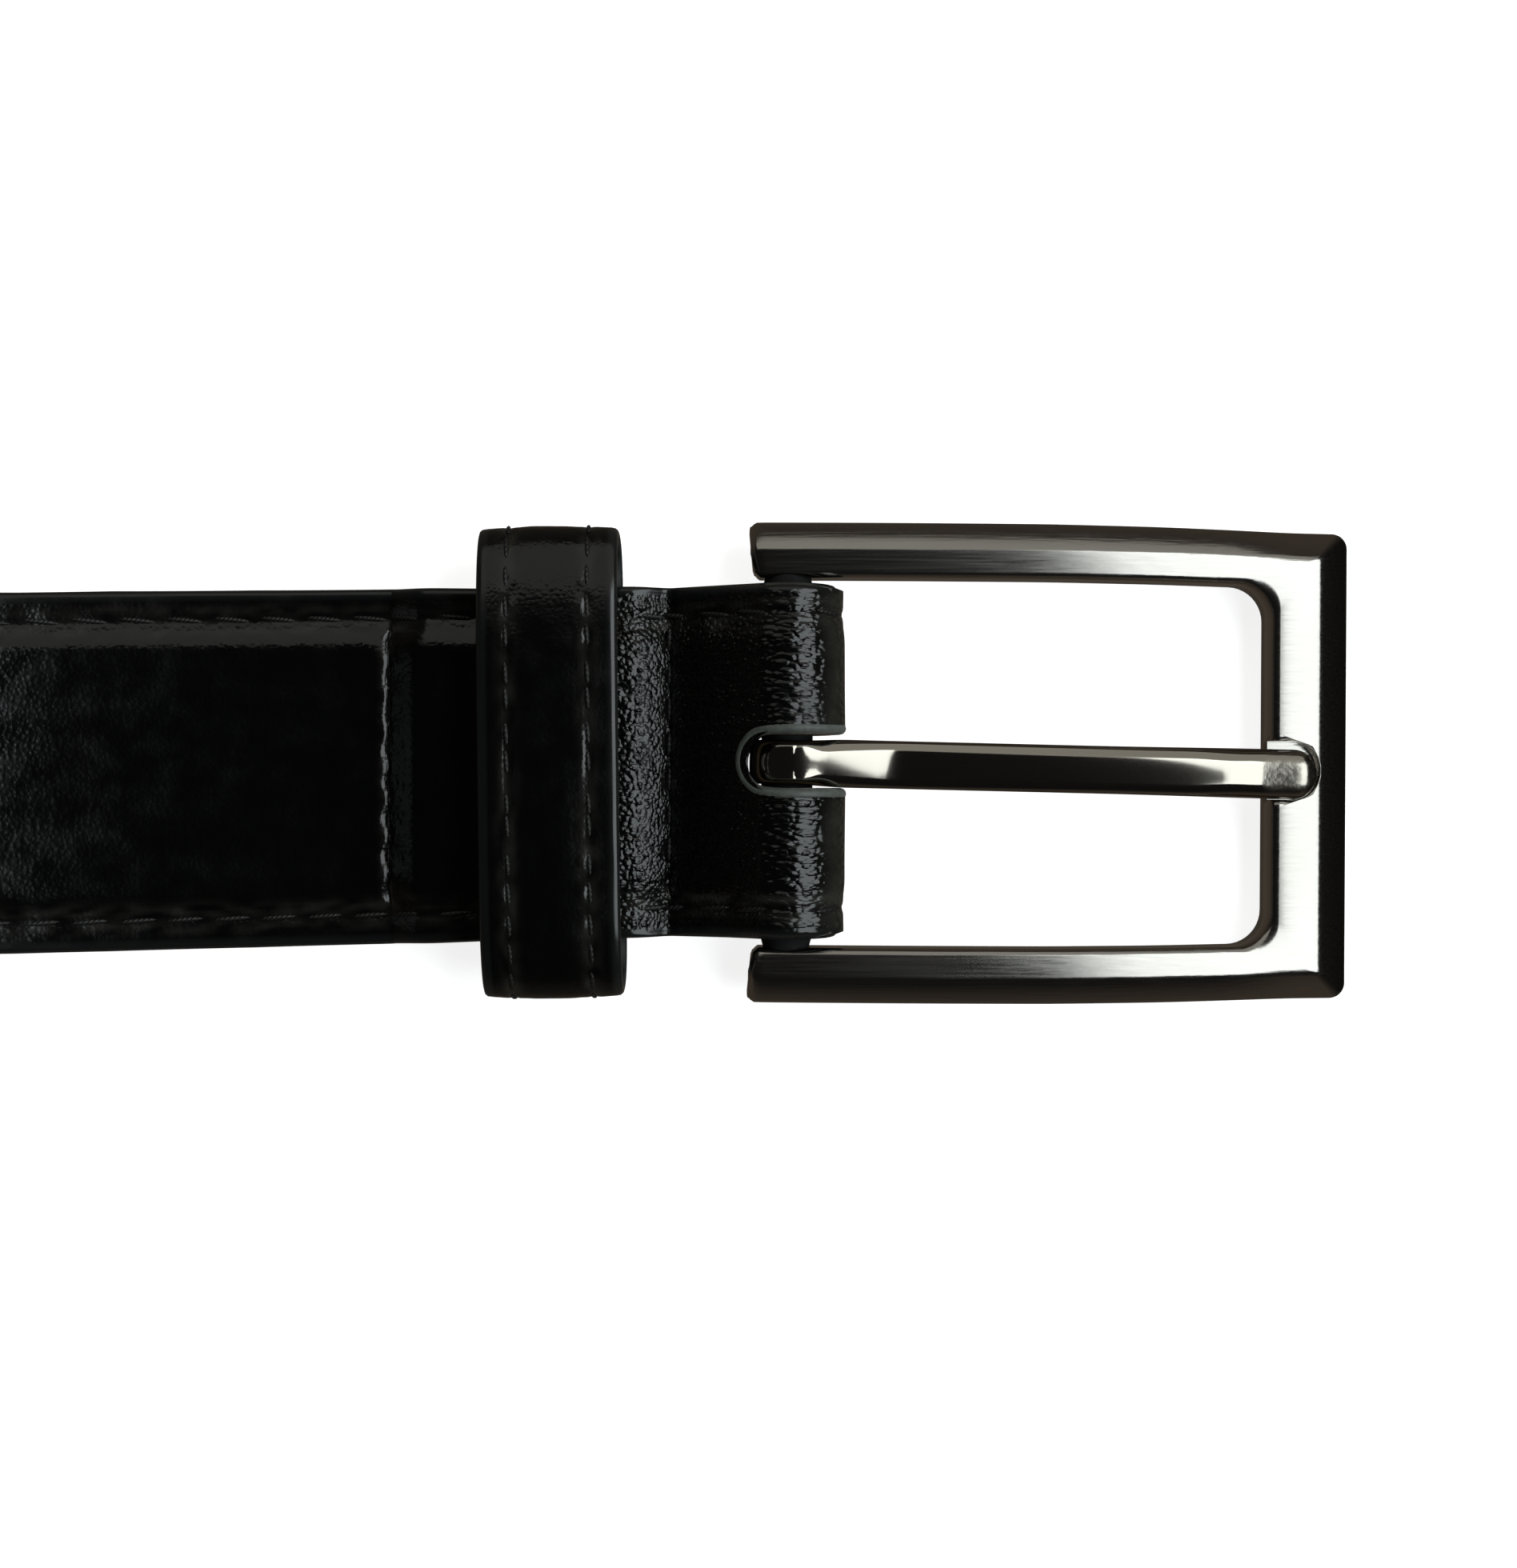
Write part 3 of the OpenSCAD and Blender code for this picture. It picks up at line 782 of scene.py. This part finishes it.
# %% Stitch helper and edge rows
one_stitch = bmesh.new()
bmesh.ops.create_uvsphere(one_stitch, u_segments=8, v_segments=6, radius=1.0)
one_stitch.verts.index_update()
stitch_points = [v.co.copy() for v in one_stitch.verts]
stitch_faces = [[v.index for v in f.verts] for f in one_stitch.faces]
one_stitch.free()


def add_stitch(bm, middle, run, up, length, width, height):
    """Adds one stitch: middle is its place, run and up its directions."""
    side = up.cross(run).normalized()
    basis = Matrix((run * length / 2, side * width / 2, up * height / 2)).transposed()
    verts = [bm.verts.new(middle + basis @ point) for point in stitch_points]
    for face in stitch_faces:
        bm.faces.new([verts[i] for i in face])


def strap_run(station):
    """The direction along the strap at a station."""
    return Vector((-station[4], 0, station[3]))


for side, name in ((1, "left"), (-1, "right")):
    bm = bmesh.new()
    s = edge_pitch / 2 + 1
    while s < strap_end - 20:
        here = station_at(s)
        up = Vector((here[3], 0, here[4]))
        run = (strap_run(here) + Vector((0, 0.08 * side, 0))).normalized()
        top = on_strap(here, side * row_y, grain_height(s, row_y) + 0.02)
        add_stitch(bm, top, run, up, 3.9, 0.55, 0.5)
        # Flush where the heel bar or the keeper comes close, drawn in a little elsewhere
        close = fold_start - 2 < s < fold_stop + 2 or (s > fold_stop and -20 < here[1] < -11)
        back = on_strap(here, side * row_y, 0.16 if close else 0.06)
        add_stitch(bm, back, run, up, 3.6, 0.5, 0.24)
        s += edge_pitch
    piece_from(bm, f"edge_seam_{name}", "strap", [f"edge_stitching_{name}"], waxed_thread)

# %% [markdown]
# The two cross rows run from seam to seam, each through the strap and its flap, so they show above
# and underneath.

# %% Cross rows
for row, name, lift in ((front_s, "front", 0.2), (rear_s, "rear", 0.03)):
    bm = bmesh.new()
    here = station_at(row)
    up = Vector((here[3], 0, here[4]))
    for i in range(-3, 4):
        y = (i + 0.5) * cross_pitch
        top = on_strap(here, y, grain_height(row, y) + lift)
        add_stitch(bm, top, Vector((0.04, 1, 0)).normalized(), up, 2.7, 0.55, 0.5)
        under = Vector((here[1], y, 0.12))
        add_stitch(bm, under, Vector((0, 1, 0)), Vector((0, 0, 1)), 2.7, 0.5, 0.22)
    piece_from(bm, f"cross_seam_{name}", "strap", [f"{name}_cross_stitching"],
               waxed_thread)

# %% [markdown]
# ## The keeper loop
#
# The keeper is a strip of the same leather, lined, sewn along both sides and joined at the back
# into a loop that the belt's tip passes through. Its top is arched, and its back lies flat in the
# hump of the strap. It is wrapped like the strap, but its path is a closed loop round the strap.

# %% Path of the keeper
keeper_back = 23.34
keeper_w = 14.2
keeper_span = 46.9
keeper_low = 2.05
keeper_high = 13.7
keeper_r = 5.2


def keeper_path():
    """(distance, y, z, out y, out z, thickness) round the outside of the loop."""
    half = keeper_span / 2
    mid = (keeper_low + keeper_high) / 2
    rise = keeper_high - mid
    top = []
    for i in range(120):
        a = math.pi * i / 120
        top.append((half * blunt(math.cos(a), 2 / 3.4), mid + rise * math.sin(a) ** (2 / 2.6)))
    low = keeper_low + keeper_r
    turn = half - keeper_r
    loop = top + [(-half, mid)] + straight([(-half, mid), (-half, low)], 0.7)
    loop += arc(-turn, low, keeper_r, 180, 270, 16)
    loop += straight([(-turn, keeper_low), (turn, keeper_low)], 0.8)
    loop += arc(turn, low, keeper_r, -90, 0, 16)
    loop += straight([(half, low), (half, mid)], 0.7)[:-1]
    path = []
    walked = 0.0
    for i, (y, z) in enumerate(loop):
        before, after = loop[i - 1], loop[(i + 1) % len(loop)]
        run = Vector((after[0] - before[0], after[1] - before[1])).normalized()
        walked += math.dist(before, (y, z)) if i else 0.0
        thick = 1.4 + 0.6 * ease(3.2, 5.5, z)
        path.append((walked, y, z, run.y, -run.x, thick))
    return path


keeper_stations = keeper_path()
keeper_length = keeper_stations[-1][0]
keeper_turn = math.radians(0.65)
print(f"keeper loop {keeper_length:.1f} mm round")


def on_keeper(station, x, depth):
    """The place of a point x along the belt from the keeper's middle, depth below its outside."""
    walked, y, z, ny, nz, thick = station
    inward = depth * thick / 2
    py = y - ny * inward
    px = 0.967 * x * math.cos(keeper_turn) - py * math.sin(keeper_turn)
    py = x * math.sin(keeper_turn) + py * math.cos(keeper_turn)
    return Vector((px - keeper_back, py, z - nz * inward))


# %% [markdown]
# Depths are given as for the two-millimetre top of the loop, and shrink with it where the back is
# pared. The outside is crowned between its rows of stitches and rounded and painted at its edges.

# %% Keeper leather and lining
keeper_row = 4.1
keeper_pitch = 3.1


def keeper_depth(s, x):
    """Depth of the keeper's outside below its highest line."""
    a = abs(x)
    beat = math.cos(2 * math.pi * s / keeper_pitch)
    depth = 0.12 * ease(1.5, 4.0, a) + 0.10 * ease(4.5, 6.6, a)
    pull = 0.7 + 0.9 * noise.noise(Vector((s * 0.14, math.copysign(2, x), 4.0)))
    depth += bell(a - keeper_row, 0.3) * (0.13 - 0.09 * beat) * pull
    depth += bell(a - keeper_row + 0.7, 0.4) * 0.06 * beat * pull
    return depth + 0.05 * noise.noise(Vector((s * 0.2, x * 0.25, 11.0)))


keeper_marks = [(7.1, 1.1), (7.1, 0.7), (7.02, 0.45), (6.8, 0.28)]
keeper_marks += [(6.4 - 0.3 * i, None) for i in range(44)]
keeper_marks = [m for m in keeper_marks if m[1] is not None or m[0] > -6.5]
keeper_marks += [(-6.8, 0.28), (-7.02, 0.45), (-7.1, 0.7), (-7.1, 1.1), (-3.0, 1.1), (3.0, 1.1)]


def place_on_keeper(station, mark):
    x, depth = mark
    return on_keeper(station, x, keeper_depth(station[0], x) if depth is None else depth)


def keeper_traits(station, mark):
    x, depth = mark
    edge = 1.0 if depth is not None else ease(5.9, 6.4, abs(x))
    rub_and_sheen = bell(abs(x) - keeper_row, 0.9) * (0.5 + noise.noise(Vector((station[0] * 0.5, x, 5.0))))
    return edge, min(max(rub_and_sheen, 0.0), 1.0), 0.25


closed_keeper = keeper_stations + keeper_stations[:1]
bm = wrapped(closed_keeper, keeper_marks, place_on_keeper, keeper_traits)
piece_from(bm, "keeper_face_leather", "keeper", ["keeper_face"], keeper_leather)
inner_marks = [(7.05, 1.15), (7.05, 1.8), (6.8, 2.0), (3, 2.0), (0, 2.0), (-3, 2.0), (-6.8, 2.0),
               (-7.05, 1.8), (-7.05, 1.15), (-3, 1.15), (3, 1.15)]
bm = wrapped(closed_keeper, inner_marks, place_on_keeper, keeper_traits)
piece_from(bm, "keeper_lining_leather", "keeper", ["keeper_lining"],
           lining_leather)

# %% Keeper stitches
def keeper_station_at(s):
    near = min(range(len(keeper_stations)), key=lambda i: abs(keeper_stations[i][0] - s))
    return keeper_stations[near]


for side, name in ((1, "front"), (-1, "rear")):
    bm = bmesh.new()
    count = round(keeper_length / keeper_pitch)
    for i in range(count):
        s = (i + 0.5) * keeper_length / count
        here = keeper_station_at(s)
        out = Vector((0, here[3], here[4]))
        run = Vector((0.06, -here[4], here[3])).normalized()
        place = on_keeper(here, side * keeper_row, keeper_depth(s, keeper_row) - 0.02)
        add_stitch(bm, place, run, out, 2.5, 0.5, 0.46)
    piece_from(bm, f"keeper_seam_{name}", "keeper", [f"keeper_{name}_stitching"],
               waxed_thread)

# %% [markdown]
# ## The buckle frame
#
# The frame is a square-cornered U of two side bars and a wider end bar, arched along its length.
# Its upper side has facets: the side bars slope outwards from a ridge in their middle, and the end
# bar has a flat face, a narrow facet and a steep slope to the outside. Such a casting is drawn best
# by lines that run round the U, one for each edge of the facets, as in a picture-frame moulding. A
# grid gives its rows to these lines and its columns to places round the U.

# %% Lines round the frame
frame_w = 48.1
side_bar_w = 5.6
frame_reach = 57.0
frame_tail = 3.85
frame_tilt = math.radians(1.9263)
frame_turn = math.radians(-0.34)
corner_x = 44.5
corner_y = 14.85


def round_the_u(dx, dy, r):
    """Points of a line round the U, dx inside the end bar's outside and dy inside the side bars'."""
    right = frame_reach - dx
    top = frame_w / 2 - dy
    ends = [-frame_tail, -frame_tail + 0.12, -frame_tail + 0.35, -frame_tail + 0.65]
    side = [(x, top) for x in ends] + [(-2.4 + (corner_x + 2.4) * i / 36, top) for i in range(37)]
    run = [(corner_x + (right - r - corner_x) * i / 5, top) for i in range(1, 5)]
    bend = arc(right - r, top - r, r, 90, 45, 5)
    half = side + run + [(right - r, top)] + bend
    bend_on = arc(right - r, top - r, r, 45, 0, 5)
    down = [(right, top - r + (corner_y - top + r) * i / 5) for i in range(1, 6)]
    end = [(right, corner_y * (1 - i / 14)) for i in range(1, 15)]
    upper = half + bend_on + down + end
    return upper + [(x, -y) for x, y in reversed(upper[:-1])]


# Each line: inset from the end bar's outside, from the side bars' outside, corner radius, height
# above the middle plane on the side bars, and on the end bar
frame_lines = [
    (0.6, 0.6, 1.2, -2.5, -2.5), (0.15, 0.15, 1.5, -2.3, -2.3), (0.0, 0.0, 1.6, -1.9, -1.9),
    (0.0, 0.0, 1.6, 0.7, 0.1), (0.08, 0.06, 1.55, 1.05, 0.45), (0.35, 0.3, 1.4, 1.35, 0.75),
    (2.95, 2.45, 0.7, 2.36, 2.2), (3.3, 2.7, 0.6, 2.47, 2.38), (3.6, 2.95, 0.6, 2.5, 2.47),
    (4.2, 3.2, 0.7, 2.5, 2.55), (4.4, 3.4, 0.8, 2.5, 2.56), (7.6, 4.9, 2.9, 2.42, 2.5),
    (8.1, 5.3, 3.2, 2.3, 2.4), (8.35, 5.55, 3.45, 2.0, 2.05), (8.4, 5.6, 3.5, 1.7, 1.7),
    (8.4, 5.6, 3.5, -1.9, -1.9), (8.2, 5.4, 3.4, -2.3, -2.3), (7.8, 5.0, 3.1, -2.5, -2.5),
]


def arch(x):
    """How far the frame's middle plane rises over the line from the heel bar."""
    return math.sqrt(320 ** 2 - (x - 22) ** 2) - 319.243


# %% [markdown]
# The ends of the side bars are rounded like a cast end, so the first columns are drawn together
# towards the middle of the bar and back a little at the inside.

# %% Frame skin
def frame_point(line, column, paths):
    dx, dy, r, z_side, z_end = line
    x, y = paths[line][column]
    share = ease(corner_x, frame_reach - 4, x)
    z = z_side + (z_end - z_side) * share
    depth = dy / side_bar_w
    middle = (frame_w - side_bar_w) / 2
    y *= 1 - 0.004 * ease(25, 36, x) - 0.014 * ease(33, 52, x)
    full = paths[line][min(column, len(paths[line]) - 1 - column)][0]
    if full < 0:
        x += 0.5 * ease(0.7, 1.0, depth) * (-full / frame_tail)
        tuck = ease(-frame_tail + 0.9, -frame_tail, full)
        side = math.copysign(1, y)
        y = side * (middle + (abs(y) - middle) * (1 - 0.16 * tuck ** 2))
        z = z * (1 - 0.2 * tuck ** 2)
    return Vector((x, y, z + arch(x)))


paths = {line: round_the_u(*line[:3]) for line in frame_lines}
columns = len(paths[frame_lines[0]])
bm = bmesh.new()
for vert, i, j in grid_spots(bm, len(frame_lines), columns - 1):
    vert.co = frame_point(frame_lines[i % len(frame_lines)], j, paths)
clean(bm)


def in_buckle(bm):
    """Moves what is drawn in the frame's own plane to its place in the belt."""
    bmesh.ops.rotate(bm, cent=(0, 0, 0), matrix=Matrix.Rotation(frame_turn, 3, "Z"), verts=bm.verts)
    bmesh.ops.rotate(bm, cent=(0, 0, 0), matrix=Matrix.Rotation(frame_tilt, 3, "Y"), verts=bm.verts)
    bmesh.ops.translate(bm, vec=(0, 0, bar_z), verts=bm.verts)


in_buckle(bm)
buckle = piece_from(bm, "buckle_frame_cast", "buckle", ["buckle_frame"],
                    brushed_nickel)

# %% [markdown]
# The heel bar is a round steel bar between the side bars, coloured nearly black all over as painted
# shade for the strap's shadow where the strap hides it.

# %% Heel bar
bm = bmesh.new()
bar_points = []
bar_radii = []
for i in range(61):
    y = -18.9 + 37.8 * i / 60
    bar_points.append((0, y, 0))
    bar_radii.append(2.58 - 0.35 * math.exp(-max(18.45 - abs(y), 0) / 0.35))
add_tube(bm, bar_points, bar_radii, [Vector((0, 0, 1))] * 61, 32)
clean(bm)
in_buckle(bm)
# Painted shade: the bar's near-black colour stands for the strap's shadow
piece_from(bm, "heel_bar", "buckle", [], painted_shade_steel)

# %% [markdown]
# The end bar has a notch with a round end, where the prong's tip comes to rest.

# %% Notch
notch_w = 5.9
notch_end = 53.6
notch_y = -0.5
notch_centre = notch_end - notch_w / 2
bm = bmesh.new()
bmesh.ops.create_cone(bm, cap_ends=True, segments=48, radius1=notch_w / 2, radius2=notch_w / 2 + 0.25,
                      depth=6, matrix=Matrix.Translation((notch_centre, notch_y, 3.25)))
run = Matrix.Translation((notch_centre - 5, notch_y, 3.25)) @ Matrix.Diagonal((10, notch_w, 6, 1))
bmesh.ops.create_cube(bm, size=1.0, matrix=run)
in_buckle(bm)
to_place(bm)
notch = object_from(bm, "notch")
cut_with(buckle, notch)
drop(notch)

# %% [markdown]
# ## The prong
#
# The prong is a round wire, flattened a little, bent round the heel bar at one end. It drops behind
# the top of its loop, rises gently to the end bar and is worn flat at its rounded tip. It is a tube
# whose section changes on the way, and the loop is a ring of its own.

# %% Prong
prong_w = 4.8
prong_start = -2.6
prong_tip = 53.2
prong_turn = math.radians(-1.0)
prong_line = [(53.2, 2.5), (52.4, 3.55), (47.4, 3.1), (45, 3.3), (11, 2.62), (0.6, 3.78),
              (-0.6, 3.82), (-1.6, 3.45), (-2.8, 2.7)]


def prong_top(x):
    """Height of the prong's upper side above the heel bar's middle, its bends rounded off."""
    return sum(from_table(prong_line, x + 0.3 * k) for k in range(-3, 4)) / 7


def prong_under(x):
    """Height of its under side, thinner over the end bar and over the loop."""
    return 0.35 + 0.75 * ease(46, 40, x) + 1.6 * ease(3.5, 1.5, x)


bm = bmesh.new()
scuffed = bm.verts.layers.float.new("scuffed")
for vert, i, j in grid_spots(bm, 32, 90):
    x = prong_start + (prong_tip - prong_start) * (0.5 - 0.5 * math.cos(math.pi * j / 90))
    close = rounded(prong_tip - x, 2.4) * rounded(x - prong_start, 1.8)
    width = (prong_w - 0.5 * ease(6, 0, x) + 0.2 * ease(30, 50, x)) * max(close, 0.02)
    high, low = prong_top(x), prong_under(x)
    half = (high - low) / 2 * max(close ** 0.5, 0.02)
    a = 2 * math.pi * i / 32
    y = width / 2 * blunt(math.cos(a), 0.9)
    vert.co = Vector((x, y, (high + low) / 2 + half * blunt(math.sin(a), 0.9)))
    vert[scuffed] = ease(47.2, 48.0, x) * ease(0.2, 0.9, math.sin(a))
clean(bm)
for vert, i, j in grid_spots(bm, 20, 48):
    a = 2 * math.pi * i / 20
    b = 2 * math.pi * j / 48
    r = 3.23 + 0.55 * blunt(math.sin(a), 0.7)
    vert.co = Vector((r * math.cos(b), 2.2 * blunt(math.cos(a), 0.7), r * math.sin(b)))
clean(bm)
bmesh.ops.rotate(bm, cent=(0, 0, 0), matrix=Matrix.Rotation(prong_turn, 3, "Z"), verts=bm.verts)
in_buckle(bm)
piece_from(bm, "prong_wire", "prong", ["prong"], polished_nickel)

# %% [markdown]
# ## The staple
#
# The keeper's ends are held by a wire staple at its back. Its measured shape is right as it is, so
# it only gets its finish.

# %% Staple finish
staple_wire, tree, shader = new_finish("tinned_steel_wire")
rough = ranged(tree, noise_at(tree, 1500.0, 3.0), 0.25, 0.45)
dress(tree, shader, hex_colour("#b9b8b4"), rough, metallic=1.0)
staple = frame["nodes"]["keeper_staple"]
staple.data.materials.clear()
staple.data.materials.append(staple_wire)

# %% [markdown]
# ## Floor and light
#
# The belt lies on plain white card. One large soft window stands low on the buckle's side, so that
# surfaces leaning towards it shine while level ones stay dark, and a weaker one fills from above
# the belt's far edge.

# %% Floor
bm = bmesh.new()
bmesh.ops.create_grid(bm, x_segments=1, y_segments=1, size=3.0)
floor = object_from(bm, "floor")
white_card, tree, shader = new_finish("white_card")
dress(tree, shader, two_tone(tree, noise_at(tree, 800.0), "#fafafa", "#ffffff"), 0.9)
shader.inputs["Emission Color"].default_value = (1, 1, 1, 1)
shader.inputs["Emission Strength"].default_value = 0.85
floor.data.materials.append(white_card)
floor.visible_glossy = False

# %% Lights
def soft_window(name, aim_x, direction, distance, width, height, power, colour):
    """An area light that faces, from a direction, a point aim_x beyond the heel bar."""
    light = bpy.data.lights.new(name, "AREA")
    light.shape = "RECTANGLE"
    light.size = width
    light.size_y = height
    light.energy = power
    light.color = colour
    lamp = bpy.data.objects.new(name, light)
    aim = Vector((bar_x + aim_x, 0, 0))
    away = Vector(direction).normalized()
    lamp.location = aim + away * distance
    lamp.rotation_euler = away.to_track_quat("Z", "Y").to_euler()
    bpy.context.scene.collection.objects.link(lamp)


soft_window("window", 0.0295, (0.6, 0.03, 0.8), 0.45, 0.47, 0.35, 1.5, (0.95, 1.02, 1.04))
soft_window("fill", 0.03, (0.0, 0.713, 0.701), 0.6, 0.95, 0.45, 0.62, (1.0, 0.99, 0.92))
world = bpy.data.worlds.new("room")
world.use_nodes = True
room = world.node_tree
place = add_node(room, "ShaderNodeTexCoord")
way = add_node(room, "ShaderNodeSeparateXYZ", links={0: place.outputs["Generated"]})
glow = add_node(room, "ShaderNodeMix", {"data_type": "RGBA"},
                {6: (0.085, 0.07, 0.055, 1), 7: (0.012, 0.012, 0.012, 1)},
                {0: ranged(room, way.outputs["Z"], 0.0, 1.0, 0.05, 0.5)})
aside = ranged(room, way.outputs["X"], 1.0, 0.1, 0.5, 0.85)
dim = add_node(room, "ShaderNodeVectorMath", {"operation": "SCALE"},
               links={0: glow.outputs[2], "Scale": aside})
room.links.new(dim.outputs[0], room.nodes["Background"].inputs["Color"])
bpy.context.scene.world = world
bpy.context.scene.view_settings.view_transform = "Standard"
